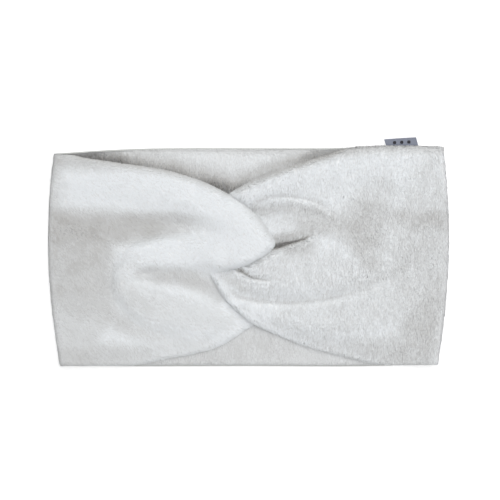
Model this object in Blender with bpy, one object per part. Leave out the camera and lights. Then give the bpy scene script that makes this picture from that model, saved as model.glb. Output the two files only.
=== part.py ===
"""Twist-front plush spa headband, lying flat and closed.

X runs along the band, Y across it (towards the edge with the label), Z up out of the table.
The origin is at the centre of the bounding box, on the table. The band is a loop: a back panel
of two plush layers lies on the table, and two front wings of two plush layers each lie on it,
hooked into each other at the middle in a twist knot. The layers are split at the lines where the
loop folds when it is opened, so that each stretch between two folds is rigid.
"""
import bmesh
import bpy
from mathutils import Vector

MM = 0.001

# Driving dimensions, in millimetres.
HALF_WIDTH = 120.3      # half the width of the flat band, at its widest
SIDE_BOW = 0.0012       # how fast the side edges bow inwards away from the widest place
SIDE_BOW_Y = 8.0        # where across the band it is widest
HINGE_X = 120.4         # the side seams' fold axes, just outside the cloth
FOLD_X = 50.0           # the fold lines of the back panel and of the front wings
FOLD_GAP = 0.15         # half the slit between the rigid stretches at a fold line
GAP = 0.3               # air between neighbouring pieces
LAYER = 3.2             # thickness of one plush layer
SEAM_RADIUS = 1.2       # the turned seam along an edge: thread and allowance as one cord
SEAM_END = 1.5          # how far an edge seam stops short of a fold line
CORNER_END = 4.0        # how far an edge seam stops short of a corner of the band

# Heights of the layers, from the table up.
BACK_OUTER_Z = 0.0
BACK_INNER_Z = BACK_OUTER_Z + LAYER + GAP
BACK_TOP_Z = BACK_INNER_Z + LAYER
FRONT_LINING_Z = BACK_TOP_Z + GAP
FRONT_OUTER_Z = FRONT_LINING_Z + LAYER + GAP
BACK_SEAM_Z = BACK_INNER_Z - GAP / 2
FRONT_SEAM_Z = FRONT_OUTER_Z - GAP / 2
SIDE_SEAM_Z = BACK_TOP_Z + GAP / 2

# The knot's own levels: a thin lining, the tails that pass under, and the lobes that lie on top.
KNOT_LINING = 2.0
KNOT_TAIL_Z = FRONT_LINING_Z + KNOT_LINING + GAP
KNOT_TAIL_TOP_Z = 15.0
KNOT_LOBE_Z = KNOT_TAIL_TOP_Z + GAP
LEFT_LOBE_TOP_Z = 25.5
RIGHT_LOBE_TOP_Z = 22.5

# Edge lines of the pieces seen from above, from left to right.
BACK_TOP = [(-116.8, 58.5), (-78.5, 60.9), (-37.6, 61.8), (47.8, 61.7), (82.7, 63.2), (116.7, 62.7)]
BACK_BOTTOM = [(-113.3, -68.7), (60.0, -68.7), (113.6, -67.8)]
LEFT_TOP = [(-116.8, 58.5), (-103.8, 56.4), (-74.9, 54.0), (-50.0, 49.5), (-31.0, 42.6), (-11.0, 33.4)]
LEFT_BOTTOM = [(-113.3, -68.7), (-70.0, -68.2), (-50.0, -64.2), (-29.8, -60.9), (-14.7, -55.5),
               (2.6, -43.5)]
RIGHT_TOP = [(-11.0, 33.4), (2.7, 41.7), (19.5, 49.8), (36.4, 54.9), (51.4, 58.5), (62.0, 61.8),
             (82.7, 63.2), (116.7, 62.7)]
RIGHT_BOTTOM = [(2.6, -43.5), (12.2, -47.1), (34.9, -56.4), (61.0, -63.3), (78.0, -66.8), (113.6, -67.8)]

# The line where the left lobe lies against the right one, from the notch at the top round the
# lobe's nose and back to the left, where the right lobe lies on the left wing.
LOBE_LINE = [(-11.0, 33.4), (-3.9, 28.7), (4.5, 20.6), (10.5, 12.5), (15.3, 5.5), (10.5, -0.5),
             (4.5, -4.7), (-6.9, -9.2), (-23.4, -11.4)]
# The right lobe's lower left edge, over the left wing.
RIGHT_LOBE_EDGE = [(-23.4, -11.4), (-18.9, -20.3), (-12.9, -29.3), (-6.0, -35.9), (2.6, -43.5)]
HOOK_X = 24.0           # outside this line a hook is as thick as its tail and lobe together

# The folded woven label at the top edge.
LABEL_LEFT = 82.9
LABEL_RIGHT = 102.1
LABEL_TOP = 68.7
LABEL_HINGE_Y = 63.7
LABEL_ROOT_Y = 61.0
LABEL_THICKNESS = 0.8
LABEL_BEND = 0.6        # length of tape that bends, left free between the root and the flap's axis
LABEL_SLANT = 0.8       # how much higher its right end stands

PLUSH = ("plush", (0.86, 0.85, 0.83, 1.0), 0.95)
LINING = ("plush_lining", (0.80, 0.79, 0.76, 1.0), 0.95)
SEAM = ("seam_cord", (0.70, 0.69, 0.67, 1.0), 0.9)
WOVEN = ("woven_label", (0.29, 0.30, 0.36, 1.0), 0.6)


def clear_scene():
    for obj in list(bpy.data.objects):
        bpy.data.objects.remove(obj, do_unlink=True)


def material(finish):
    name, colour, roughness = finish
    found = bpy.data.materials.get(name)
    if found:
        return found
    made = bpy.data.materials.new(name)
    made.use_nodes = True
    shader = made.node_tree.nodes["Principled BSDF"]
    shader.inputs["Base Color"].default_value = colour
    shader.inputs["Roughness"].default_value = roughness
    shader.inputs["Metallic"].default_value = 0.0
    return made


def empty(name, x, y, z, parent=None):
    """A body's joint, at a place given in the band's own frame, in millimetres."""
    joint = bpy.data.objects.new(name, None)
    bpy.context.collection.objects.link(joint)
    place = Vector((x, y, z)) * MM
    joint["place"] = place
    joint.location = place - Vector(parent["place"]) if parent else place
    joint.parent = parent
    return joint


def add(name, data, body, finish):
    """Puts a mesh or curve, given in the band's own frame, on the body that it moves with."""
    obj = bpy.data.objects.new(name, data)
    bpy.context.collection.objects.link(obj)
    obj.parent = body
    obj.location = -Vector(body["place"])
    obj.data.materials.append(material(finish))
    return obj


def side_x(y):
    return HALF_WIDTH - SIDE_BOW * (y - SIDE_BOW_Y) ** 2


def height_on(line, x):
    """The line's y at x."""
    for (x0, y0), (x1, y1) in zip(line, line[1:]):
        if x0 <= x <= x1:
            return y0 + (y1 - y0) * (x - x0) / (x1 - x0)
    return line[0][1] if x < line[0][0] else line[-1][1]


def stretch(line, start, end, drop):
    """The line's points from x = start to x = end, moved by drop across the band."""
    inner = [x for x, _ in line if start < x < end]
    return [(x, height_on(line, x) + drop) for x in [start, *inner, end]]


def side_edge(sign, low, high, inset, steps=8):
    """Points up a bowed side edge, inset towards the middle."""
    heights = [low + (high - low) * i / steps for i in range(steps + 1)]
    return [(sign * (side_x(y) - inset), y) for y in heights]


def panel_outline(top, bottom, start, end):
    """Outline between a top and a bottom line, inside their edge seams; it ends at the bowed
    side edge where start or end lies beyond the cloth."""
    inset = 2 * SEAM_RADIUS + GAP
    left = max(start, top[0][0] + inset)
    right = min(end, top[-1][0] - inset)
    low_left = max(start, bottom[0][0] + inset)
    low_right = min(end, bottom[-1][0] - inset)
    upper = stretch(top, left, right, -inset)
    lower = stretch(bottom, low_left, low_right, inset)
    outline = list(lower)
    if end > HALF_WIDTH:
        outline += side_edge(1, lower[-1][1], upper[-1][1], inset)[1:-1]
    outline += reversed(upper)
    if start < -HALF_WIDTH:
        outline += reversed(side_edge(-1, lower[0][1], upper[0][1], inset)[1:-1])
    return outline


def plate_mesh(name, outline, low, high):
    """A plate with the given counter-clockwise outline, from z = low to z = high."""
    bm = bmesh.new()
    corners = [bm.verts.new(Vector((x, y, low)) * MM) for x, y in outline]
    base = bm.faces.new(corners)
    raised = bmesh.ops.extrude_face_region(bm, geom=[base])["geom"]
    moved = [v for v in raised if isinstance(v, bmesh.types.BMVert)]
    bmesh.ops.translate(bm, verts=moved, vec=(0, 0, (high - low) * MM))
    bmesh.ops.recalc_face_normals(bm, faces=bm.faces)
    mesh = bpy.data.meshes.new(name)
    bm.to_mesh(mesh)
    bm.free()
    return mesh


def layer(name, body, outline, low, thickness=LAYER, finish=PLUSH, soften=0.8):
    obj = add(name, plate_mesh(name, outline, low, low + thickness), body, finish)
    bevel = obj.modifiers.new("soft_edges", "BEVEL")
    bevel.width = soften * MM
    bevel.segments = 2
    bevel.limit_method = "ANGLE"
    return obj


def cord(name, body, points, radius=SEAM_RADIUS, finish=SEAM):
    """A seam as a round cord through points, with closed ends."""
    curve = bpy.data.curves.new(name, "CURVE")
    curve.dimensions = "3D"
    curve.bevel_depth = radius * MM
    curve.bevel_resolution = 2
    curve.use_fill_caps = True
    spline = curve.splines.new("POLY")
    spline.points.add(len(points) - 1)
    for point, place in zip(spline.points, points):
        point.co = (*(Vector(place) * MM), 1.0)
    return add(name, curve, body, finish)


def edge_seam(name, body, line, start, end, z, inward):
    """The turned seam along an edge line; inward is -1 on a top edge and +1 on a bottom edge."""
    path = stretch(line, start, end, inward * SEAM_RADIUS)
    return cord(name, body, [(x, y, z) for x, y in path])


def side_seam(name, body, sign):
    low = BACK_BOTTOM[0][1] + 2.0
    high = BACK_TOP[0][1] - 1.5
    path = side_edge(sign, low, high, SEAM_RADIUS, steps=12)
    return cord(name, body, [(x, y, SIDE_SEAM_Z) for x, y in path])


def shrink(outline, by):
    """The outline pulled inwards by a small distance along its corners' bisectors."""
    moved = []
    for i, (x, y) in enumerate(outline):
        here = Vector((x, y))
        before = (here - Vector(outline[i - 1])).normalized()
        after = (Vector(outline[(i + 1) % len(outline)]) - here).normalized()
        normal = Vector((-(before + after).y, (before + after).x)).normalized()
        moved.append(tuple(here + normal * by))
    return moved


def hook(name, body, parts, finish=PLUSH):
    """One wing's hook in the knot: plates at several levels joined into one solid."""
    first, *rest = parts
    obj = add(name, plate_mesh(name, *first), body, finish)
    for number, plate in enumerate(rest):
        tool = add(f"{name}_plate_{number}", plate_mesh(name, *plate), body, finish)
        tool.hide_render = True
        tool.display_type = "WIRE"
        union = obj.modifiers.new(f"join_{number}", "BOOLEAN")
        union.operation = "UNION"
        union.object = tool
    return obj


def back_panel(bodies):
    spans = {
        "left": ("back_left", -999.0, -FOLD_X - FOLD_GAP),
        "center": ("back_center", -FOLD_X + FOLD_GAP, FOLD_X - FOLD_GAP),
        "right": ("back_right", FOLD_X + FOLD_GAP, 999.0),
    }
    for side, (body, start, end) in spans.items():
        outline = panel_outline(BACK_TOP, BACK_BOTTOM, start, end)
        layer(f"back_outer_{side}", bodies[body], outline, BACK_OUTER_Z)
        layer(f"back_inner_{side}", bodies[body], outline, BACK_INNER_Z, finish=LINING)
        for edge, line, inward in (("top", BACK_TOP, -1), ("bottom", BACK_BOTTOM, 1)):
            seam_start = max(start + SEAM_END, line[0][0] + CORNER_END)
            seam_end = min(end - SEAM_END, line[-1][0] - CORNER_END)
            edge_seam(f"back_{edge}_seam_{side}", bodies[body], line, seam_start, seam_end,
                      BACK_SEAM_Z, inward)


def front_wing(bodies, side, top, bottom, start, end):
    body = bodies[f"front_{side}"]
    outline = panel_outline(top, bottom, start, end)
    layer(f"{side}_wing_lining", body, outline, FRONT_LINING_Z, finish=LINING)
    layer(f"{side}_wing_outer", body, outline, FRONT_OUTER_Z)
    for edge, line, inward in (("top", top, -1), ("bottom", bottom, 1)):
        seam_start = max(start + SEAM_END, line[0][0] + CORNER_END)
        seam_end = min(end - SEAM_END, line[-1][0] - CORNER_END)
        edge_seam(f"{side}_wing_{edge}_seam", body, line, seam_start, seam_end, FRONT_SEAM_Z, inward)


def knot(body):
    left = -FOLD_X + FOLD_GAP
    right = FOLD_X - FOLD_GAP
    left_top = list(reversed(stretch(LEFT_TOP, left, LEFT_TOP[-1][0], 0.0)))
    left_bottom = stretch(LEFT_BOTTOM, left, LEFT_BOTTOM[-1][0], 0.0)
    right_top = list(reversed(stretch(RIGHT_TOP, RIGHT_TOP[0][0], right, 0.0)))
    right_bottom = stretch(RIGHT_BOTTOM, RIGHT_BOTTOM[0][0], right, 0.0)
    for side, outline in (("left", left_bottom + left_top), ("right", right_bottom + right_top)):
        lining = [(min(max(x, left), right), y) for x, y in shrink(outline, GAP)]
        layer(f"{side}_hook_lining", body, lining, FRONT_LINING_Z, KNOT_LINING, LINING, soften=0.5)

    notch_x = LOBE_LINE[0][0]
    hook_top = height_on(LEFT_TOP, -HOOK_X)
    left_tail = left_bottom + [RIGHT_LOBE_EDGE[1], (-HOOK_X, LOBE_LINE[-1][1])]
    left_tail += [(-HOOK_X, hook_top)] + left_top[-2:]
    left_lobe = [(left, LOBE_LINE[-1][1])] + list(reversed(LOBE_LINE)) + left_top[1:]
    left_riser = [(left, LOBE_LINE[-1][1]), (-HOOK_X, LOBE_LINE[-1][1]), (-HOOK_X, hook_top)]
    left_riser += left_top[-2:]
    hook("left_hook", body, [
        (shrink(left_tail, GAP), KNOT_TAIL_Z, KNOT_TAIL_TOP_Z),
        (shrink(left_lobe, GAP), KNOT_LOBE_Z, LEFT_LOBE_TOP_Z),
        (shrink(left_riser, 2 * GAP), KNOT_TAIL_Z + GAP, LEFT_LOBE_TOP_Z - GAP),
    ])

    under_y = LOBE_LINE[5][1]
    right_tail = [(notch_x, under_y), (right, under_y)] + right_top
    right_lobe = RIGHT_LOBE_EDGE[:-1] + right_bottom + [(right, right_top[0][1])]
    right_lobe += [(HOOK_X, height_on(RIGHT_TOP, HOOK_X))] + LOBE_LINE[4:-1]
    right_riser = [(HOOK_X, under_y), (right, under_y)] + right_top[:2]
    right_riser += [(HOOK_X, height_on(RIGHT_TOP, HOOK_X))]
    hook("right_hook", body, [
        (shrink(right_tail, GAP), KNOT_TAIL_Z, KNOT_TAIL_TOP_Z),
        (shrink(right_lobe, GAP), KNOT_LOBE_Z, RIGHT_LOBE_TOP_Z),
        (shrink(right_riser, 2 * GAP), KNOT_TAIL_Z + GAP, RIGHT_LOBE_TOP_Z - GAP),
    ])


def label(bodies):
    low = SIDE_SEAM_Z - LABEL_THICKNESS / 2
    root = [(LABEL_LEFT, LABEL_ROOT_Y), (LABEL_RIGHT, LABEL_ROOT_Y),
            (LABEL_RIGHT, LABEL_HINGE_Y - LABEL_BEND), (LABEL_LEFT, LABEL_HINGE_Y - LABEL_BEND)]
    layer("label_root", bodies["back_right"], root, low, LABEL_THICKNESS, WOVEN, soften=0.15)
    flap = [(LABEL_LEFT, LABEL_HINGE_Y + FOLD_GAP), (LABEL_RIGHT, LABEL_HINGE_Y + FOLD_GAP),
            (LABEL_RIGHT, LABEL_TOP), (LABEL_LEFT, LABEL_TOP - LABEL_SLANT)]
    layer("label_flap", bodies["label"], flap, low, LABEL_THICKNESS, WOVEN, soften=0.15)


def main():
    clear_scene()
    bodies = {"back_center": empty("joint_root", 0, 0, 0)}
    bodies["back_left"] = empty("joint_back_left", -FOLD_X, 0, BACK_TOP_Z, bodies["back_center"])
    bodies["front_left"] = empty("joint_left_side", -HINGE_X, 0, SIDE_SEAM_Z, bodies["back_left"])
    bodies["knot"] = empty("joint_front_left", -FOLD_X, 0, FRONT_LINING_Z, bodies["front_left"])
    bodies["front_right"] = empty("joint_front_right", FOLD_X, 0, FRONT_LINING_Z, bodies["knot"])
    bodies["back_right"] = empty("joint_back_right", FOLD_X, 0, BACK_TOP_Z, bodies["back_center"])
    bodies["label"] = empty("joint_label", 0, LABEL_HINGE_Y, SIDE_SEAM_Z, bodies["back_right"])
    back_panel(bodies)
    front_wing(bodies, "left", LEFT_TOP, LEFT_BOTTOM, -999.0, -FOLD_X - FOLD_GAP)
    front_wing(bodies, "right", RIGHT_TOP, RIGHT_BOTTOM, FOLD_X + FOLD_GAP, 999.0)
    side_seam("left_side_seam", bodies["back_left"], -1)
    side_seam("right_side_seam", bodies["back_right"], 1)
    knot(bodies["knot"])
    label(bodies)


main()
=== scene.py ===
"""Looks of the twist-front plush headband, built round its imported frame.

The two front wings and the back panel are padded plush sheets, each a closed surface over its own
outline, shaped by folds: lines across the cloth that raise or lower it. A pile of short blades
grows from every sheet.
"""
import math

import bpy
import numpy as np
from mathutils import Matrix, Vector, noise


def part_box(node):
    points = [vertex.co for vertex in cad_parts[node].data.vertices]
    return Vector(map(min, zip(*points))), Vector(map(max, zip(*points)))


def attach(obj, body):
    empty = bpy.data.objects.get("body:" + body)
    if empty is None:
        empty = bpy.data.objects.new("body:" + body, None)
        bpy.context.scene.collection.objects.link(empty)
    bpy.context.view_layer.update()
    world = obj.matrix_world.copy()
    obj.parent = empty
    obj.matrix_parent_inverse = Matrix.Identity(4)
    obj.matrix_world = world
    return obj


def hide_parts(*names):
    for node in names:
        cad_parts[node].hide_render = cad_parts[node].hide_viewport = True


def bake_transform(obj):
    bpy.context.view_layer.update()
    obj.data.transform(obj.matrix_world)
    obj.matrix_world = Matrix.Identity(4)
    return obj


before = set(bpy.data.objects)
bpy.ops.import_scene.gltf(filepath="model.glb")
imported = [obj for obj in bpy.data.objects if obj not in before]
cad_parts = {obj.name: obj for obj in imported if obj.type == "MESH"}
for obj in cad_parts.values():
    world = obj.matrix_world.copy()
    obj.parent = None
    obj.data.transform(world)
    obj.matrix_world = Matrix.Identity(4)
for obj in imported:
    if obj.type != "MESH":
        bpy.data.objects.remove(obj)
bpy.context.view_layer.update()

MM = 0.001
SEED = 7


def node_box(name):
    """A CAD node's lowest and highest corners."""
    low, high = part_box(name)
    return np.array(low) / MM, np.array(high) / MM


# Heights of the two panels and of the line where they meet, and the place of the outer fold lines.
BACK_LOW = node_box("back_outer_center")[0][2]
BACK_HIGH = node_box("back_inner_center")[1][2]
FRONT_LOW = node_box("left_wing_lining")[0][2]
FRONT_HIGH = node_box("left_wing_outer")[1][2]
SEAM_LEVEL = (BACK_HIGH + FRONT_LOW) / 2
BACK_MIDDLE = (BACK_LOW + BACK_HIGH) / 2
FRONT_MIDDLE = (FRONT_LOW + FRONT_HIGH) / 2

# The wings: level of the plump cloth, level of the parts that lie under the other wing, width over
# which the left lobe rolls down at its rim and the share of its height that it loses, and the gap
# between the lining and the cloth below.
PLUMP = FRONT_HIGH - 1.0
TAIL = FRONT_LOW + 3.4
LOBE_ROLL = 3.4
LOBE_DROP = 0.65
SKIN = 0.4
# Cells of the sheets' grids, the line where the back panel's halves meet, and the pile's distance
# from it.
WING_CELL = 0.95
BACK_CELL = 1.3
BACK_CUT = 24.0
CUT_CLEARANCE = 0.02
# The rounded sides: their half width, their points round, and the line outside which they face out.
ROLL_WIDTH = 1.5
ROLL_POINTS = 16
ROLL_FACE = 119.0
# Seam cords: their points round, and the beads that the stitches make, as a share and a length.
CORD_POINTS = 8
CORD_BEAD = 0.16
CORD_PITCH = 1.6
# The label: one leaf, both leaves with the gap, lean to the left for each mm up, and how much the
# right end of its fold stands above the middle.
LABEL_LEAF = 0.34
LABEL_TOTAL = 0.8
LABEL_LEAN = 0.3
LABEL_TILT = 0.7
# The motif on it: dots in rows of satin stitch, each stitch a few rings of points along its length.
DOT_SPACING = 4.3
STITCH_GAP = 0.36
STITCH_RADIUS = 0.19
STITCH_RISE = 0.16
STITCH_RINGS = 9
STITCH_POINTS = 6

# Outlines, counter-clockwise from the lower left corner, apart from the left side, which is listed
# upwards and taken backwards. Sharp corners are where two lists meet.
LEFT_SIDE = [(-113.3, -68.7), (-117.6, -38.0), (-119.8, -12.0), (-120.3, 10.0), (-119.2, 36.0),
             (-116.8, 58.5)]
RIGHT_SIDE = [(113.6, -67.8), (117.5, -38.0), (119.6, -12.0), (120.3, 8.0), (119.2, 36.0), (116.7, 62.7)]
BACK_TOP = [(116.7, 62.7), (82.7, 63.4), (47.8, 61.8), (-37.6, 61.8), (-78.5, 60.9), (-116.8, 58.5)]
BACK_BOTTOM = [(-113.3, -68.7), (-60.0, -68.9), (0.0, -68.7), (60.0, -68.9), (113.6, -67.8)]

LEFT_BOTTOM = [(-113.3, -68.7), (-85.0, -68.9), (-70.0, -68.2), (-50.0, -64.2), (-29.8, -60.3),
               (-14.7, -54.8), (2.6, -43.5)]
LEFT_HIDDEN = [(2.6, -43.5), (9.0, -34.0), (12.0, -18.0), (13.0, -6.0), (15.3, 5.5)]
LEFT_TOP = [(15.3, 5.5), (10.9, 12.8), (4.5, 20.8), (-3.9, 28.6), (-13.2, 33.8), (-25.5, 40.0),
            (-38.7, 44.6), (-52.0, 48.2), (-76.6, 51.8), (-99.0, 55.2), (-108.0, 57.4), (-116.8, 58.5)]

RIGHT_EDGE = [(-26.0, -8.0), (-23.4, -13.0), (-18.9, -20.3), (-12.9, -29.3), (-6.0, -35.9), (1.5, -42.0),
              (12.2, -47.4), (34.9, -56.6), (61.0, -63.5), (78.0, -67.4), (95.0, -68.4), (113.6, -67.8)]
RIGHT_TOP = [(116.7, 62.7), (90.0, 63.4), (62.0, 62.4), (51.4, 58.2), (36.4, 53.4), (19.5, 48.1),
             (2.7, 41.4), (-10.5, 34.4)]
RIGHT_HIDDEN = [(-10.5, 34.4), (-12.0, 27.0), (-6.0, 18.0), (1.0, 10.0), (4.0, 3.0), (-6.0, -2.0),
                (-26.0, -8.0)]

# Folds. Each is the width on the right of the line's direction as a share of the width on its left,
# the power of its cross-section (2 is a bell, 4 is flat on top), and the line's points: x, y, height
# and half width.
LEFT_FOLDS = [
    # The long upper ridge, and the lobe that it swells into.
    (1.0, 2, [(-116, 43, 1.6, 11), (-90, 43, 3.0, 12), (-70, 41, 4.2, 12), (-50, 37, 5.0, 12),
              (-34, 31, 5.4, 12), (-20, 25, 4.4, 12), (-6, 17, 2.6, 12), (4, 9, 1.0, 12)]),
    (1.0, 4, [(-40, 13, 0.0, 16), (-28, 11, 2.6, 18), (-16, 9, 6.0, 22), (-6, 7, 8.0, 24),
              (4, 5, 8.4, 24)]),
    # The hollow below the ridge.
    (1.0, 2, [(-118, 20, -1.2, 9), (-100, 16, -1.6, 9), (-75, 16, -2.0, 8), (-60, 16, -2.2, 7),
              (-48, 16, -2.2, 6), (-36, 15, -1.6, 6), (-26, 14, -0.6, 5), (-18, 13, 0.0, 5)]),
    # The C-shaped roll: its upper arm, its bend on the left and its lower arm.
    (1.0, 4, [(-14, -1, 0.5, 9), (-26, -1, 2.8, 9.5), (-44, -1, 3.8, 9.5), (-58, -1, 3.8, 9),
              (-68, -4, 3.4, 8), (-73, -12, 3.0, 8), (-71, -22, 2.8, 9), (-62, -31, 2.6, 10),
              (-48, -36, 2.6, 11), (-32, -39, 2.4, 11), (-15, -43, 2.0, 10), (-4, -45, 1.2, 8)]),
    # The dip along the outside of the C, and the hollow inside it.
    (1.0, 2, [(-86, -2, -0.6, 7), (-89, -16, -0.8, 7), (-82, -34, -0.8, 7), (-66, -47, -1.0, 6),
              (-46, -53, -0.6, 6)]),
    (1.0, 2, [(-62, -17, -0.8, 5), (-50, -18.5, -1.4, 5), (-38, -20, -1.8, 6), (-26, -22, -2.2, 6),
              (-18, -28, -1.6, 6)]),
]
RIGHT_FOLDS = [
    # The upper strand, the main bulge and the roll along the lower edge.
    (1.0, 2, [(-6, 30, 4.0, 8), (5, 36, 5.0, 9), (20, 42, 5.0, 10), (40, 47, 4.2, 11), (62, 50, 3.2, 12),
              (90, 48, 2.2, 13), (116, 46, 1.2, 13)]),
    (1.0, 3, [(-12, -17, 2.0, 8), (-3, -15, 4.0, 11), (8, -13, 6.0, 14), (24, -12, 7.0, 17),
              (40, -10, 6.0, 18), (58, -6, 4.0, 18), (80, 2, 2.0, 16)]),
    (1.0, 2, [(-21, -16, 1.5, 5), (-13, -26, 2.5, 7), (-2, -36, 3.2, 9), (14, -42, 3.4, 9),
              (42, -44, 3.2, 10), (75, -40, 2.6, 11), (106, -30, 1.6, 12)]),
    # The groove between the last two, sharper on its lower side.
    (0.8, 2, [(-18, -16, -0.4, 4), (-12, -24, -0.7, 5), (-4, -29, -1.1, 5), (18, -31, -1.3, 5),
              (43, -29.5, -1.2, 5), (68, -23.5, -1.0, 5.5), (93, -13.5, -0.8, 6), (110, -4, -0.4, 7)]),
    # The shallow hollow towards the side.
    (1.0, 2, [(80, 34, -1.2, 10), (72, 16, -2.0, 12), (72, -2, -1.4, 9)]),
    # The welt of the upper strand with the crease above it, and the pocket under it.
    (1.0, 2, [(52, 17, 0.0, 1.6), (47, 22.3, 0.3, 1.6), (39, 26.9, 0.4, 1.6), (24, 30.0, 0.4, 1.6),
              (14, 29.2, 0.35, 1.6), (4, 26.3, 0.2, 1.6)]),
    (1.0, 2, [(54, 20, -0.1, 1.4), (48, 25.6, -0.3, 1.4), (39, 30.2, -0.4, 1.4), (24, 33.6, -0.4, 1.4),
              (12, 32.8, -0.3, 1.4)]),
    (1.0, 2, [(50, 16, -0.6, 5), (44, 18, -1.6, 7), (34, 18, -2.8, 9), (20, 18, -3.4, 10),
              (6, 18, -3.0, 10)]),
    # The two slits.
    (1.0, 2, [(11, 2.4, -5.0, 2.8), (17, 3.6, -5.0, 2.8), (25, 5.4, -4.0, 2.2), (31, 7.0, -3.0, 1.9),
              (37, 8.6, -1.2, 1.8)]),
    (1.0, 2, [(-7, -9.8, -2.4, 1.6), (-1, -14, -3.0, 1.6), (5.5, -16.2, -2.4, 1.6),
              (13, -16.8, -0.8, 1.8)]),
]

# Painted shade, named as brushed-up nap: darker pile and ground tints over hollows, edges and shaded slopes,
# where the blades also stand a little steeper. The same columns as the folds, with strength in place of
# height.
LEFT_NAP_AND_PAINTED_SHADE = [
    # Painted shade in the hollow below the ridge, over the shaded left end, and along the top edge and side.
    (1.0, 4, [(-124, 16, 0.80, 12), (-104, 14, 0.80, 12), (-84, 13.5, 0.82, 11), (-68, 14, 0.84, 9.5),
              (-54, 15.5, 0.76, 8), (-42, 16.5, 0.55, 7), (-33, 16, 0.28, 6), (-26, 15, 0.10, 6)]),
    (1.0, 6, [(-105, -2, 0.70, 25.5), (-105, -22, 0.66, 25.5), (-104, -33, 0.54, 25),
              (-107, -46, 0.40, 22), (-110, -62, 0.46, 20)]),
    (1.0, 2, [(-14, 33.5, 0.25, 2.2), (-30, 41.5, 0.3, 2.5), (-50, 47.5, 0.38, 3), (-70, 50.5, 0.40, 3.5),
              (-84, 52, 0.48, 4.5), (-98, 53.5, 0.55, 6), (-112, 56, 0.70, 8), (-119, 50, 0.65, 9),
              (-121, 36, 0.55, 10), (-123, 10, 0.30, 6)]),
    # Painted shade outside the C, on its left bend and lower arm, in the hollow inside it, and at the
    # bottom.
    (1.0, 2, [(-88, -28, 0.25, 7), (-80, -40, 0.55, 7), (-66, -48, 0.42, 6), (-50, -53, 0.25, 6),
              (-34, -55, 0.15, 5)]),
    (1.0, 3, [(-70, -6, 0.15, 7), (-77, -15, 0.20, 7), (-69, -27, 0.34, 9), (-54, -33, 0.30, 10),
              (-34, -37, 0.22, 10), (-14, -42, 0.15, 8)]),
    (1.0, 3, [(-66, -13.5, 0.35, 5), (-54, -14.8, 0.54, 5.5), (-40, -16.2, 0.54, 6),
              (-28, -19.5, 0.60, 6), (-19, -27, 0.40, 5)]),
    (1.0, 3, [(-116, -66, 0.50, 9), (-84, -63, 0.46, 9), (-66, -62, 0.40, 7), (-48, -60, 0.26, 6),
              (-24, -56, 0.16, 5)]),
]
RIGHT_NAP_AND_PAINTED_SHADE = [
    # Mottled painted shade over the shallow hollow towards the side, with its branches to the left and to
    # the side.
    (1.0, 3, [(80, 37, 0.26, 10), (74, 27, 0.46, 14), (69, 14, 0.62, 16), (71, 4, 0.64, 12),
              (73, -6, 0.52, 8)]),
    (1.0, 2, [(34, 18, 0.46, 6), (48, 16, 0.56, 7), (60, 14, 0.50, 9)]),
    (1.0, 2, [(84, 22, 0.44, 9), (100, 19, 0.64, 8), (121, 19, 0.66, 9)]),
    # Painted shade over the side, along the top edge and at the lower corner.
    (1.0, 4, [(114, 44, 0.28, 16), (108, 4, 0.42, 26), (106, -24, 0.40, 22)]),
    (1.0, 2, [(-6, 37, 0.35, 2.5), (4, 41.5, 0.45, 2.5), (20, 48, 0.5, 2.8), (38, 54, 0.6, 3.2),
              (56, 61, 0.85, 4.5), (90, 64, 0.80, 5), (118, 63, 0.85, 5.5)]),
    (1.0, 3, [(110, -30, 0.46, 12), (104, -44, 0.62, 15), (98, -60, 0.55, 15), (74, -60, 0.40, 10),
              (50, -58, 0.25, 8), (26, -51, 0.12, 6)]),
    # Light painted shade over the main bulge and the roll below it.
    (1.0, 4, [(14, -10, 0.24, 14), (34, -8, 0.20, 14), (58, -14, 0.22, 14), (84, -26, 0.26, 17),
              (60, -38, 0.24, 13), (20, -38, 0.16, 8)]),
    # Painted shade in the groove, in the pocket under the welt and in the hollow above the slit.
    (0.6, 2, [(-16, -15, 0.3, 4), (-6, -21, 0.40, 5), (8, -26, 0.15, 5), (24, -28, 0.10, 5),
              (44, -26, 0.10, 5), (68, -20, 0.25, 6), (93, -10, 0.30, 7)]),
    (1.0, 2, [(50, 20, 0.40, 4), (38, 24, 0.52, 4), (22, 25.5, 0.44, 4), (4, 24, 0.55, 4.5)]),
    (1.0, 3, [(6, 17, 0.12, 5), (18, 18, 0.18, 6), (32, 16, 0.40, 6), (44, 14, 0.46, 6)]),
    (1.0, 2, [(38, 11, 0.50, 4), (27, 9.3, 0.72, 3.6), (17, 6.8, 0.72, 3.8)]),
    (1.0, 2, [(24, 0, 0.45, 4), (33, 2, 0.55, 4.5), (40, 5, 0.30, 4)]),
]
# Lines where the pile goes down into a slit or a crease: it is shorter there and painted dark for the shade
# in them.
SLITS = [
    (1.0, 2, [(-12, -22.5, 0.25, 1.5), (-4, -27.5, 0.42, 1.5), (18, -30.5, 0.40, 1.4),
              (43, -29, 0.40, 1.4), (68, -23, 0.34, 1.5), (93, -13.5, 0.15, 1.6)]),
    (1.0, 2, [(12, 3.2, 1.50, 2.6), (18, 3.5, 1.55, 2.4), (26, 5.6, 1.44, 1.7), (33, 7.4, 1.30, 1.4),
              (38, 10, 0.7, 1.3)]),
    (1.0, 2, [(-7, -9.8, 1.25, 1.4), (-1, -14, 1.10, 1.2), (5.5, -16.4, 0.85, 1.2),
              (12, -17.2, 0.4, 1.3)]),
    (1.0, 2, [(52, 22, 0.15, 1.1), (47, 26, 0.28, 1.1), (39, 30, 0.32, 1.1), (24, 33, 0.32, 1.1),
              (12, 32.2, 0.28, 1.1), (3, 29, 0.25, 1.1)]),
]
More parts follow.
